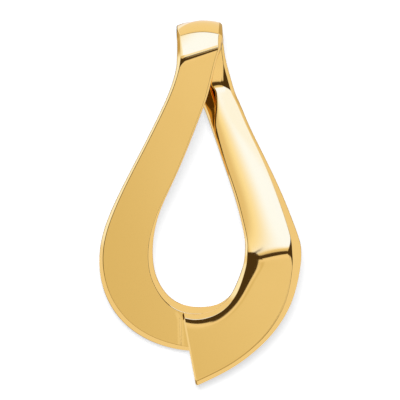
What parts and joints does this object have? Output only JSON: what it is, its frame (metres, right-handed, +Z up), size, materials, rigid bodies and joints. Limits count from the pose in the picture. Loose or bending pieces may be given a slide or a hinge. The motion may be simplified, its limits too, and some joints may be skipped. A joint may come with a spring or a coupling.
{
  "type": "slide pendant",
  "caption": "Polished yellow gold slide pendant: a folded ribbon in an open teardrop, with a slide for a chain behind its top.",
  "frame": {"origin": "middle of the footprint on the surface that the pendant lies on, face up", "axes": "+Z up out of the surface, +Y from the bottom tip towards the slide, +X to the right seen from the face"},
  "size_m": [0.0236, 0.0428, 0.0061],
  "materials": {
    "gold": "high polish yellow gold"
  },
  "bodies": {
    "root": {"pendant": "gold"}
  },
  "joints": []
}
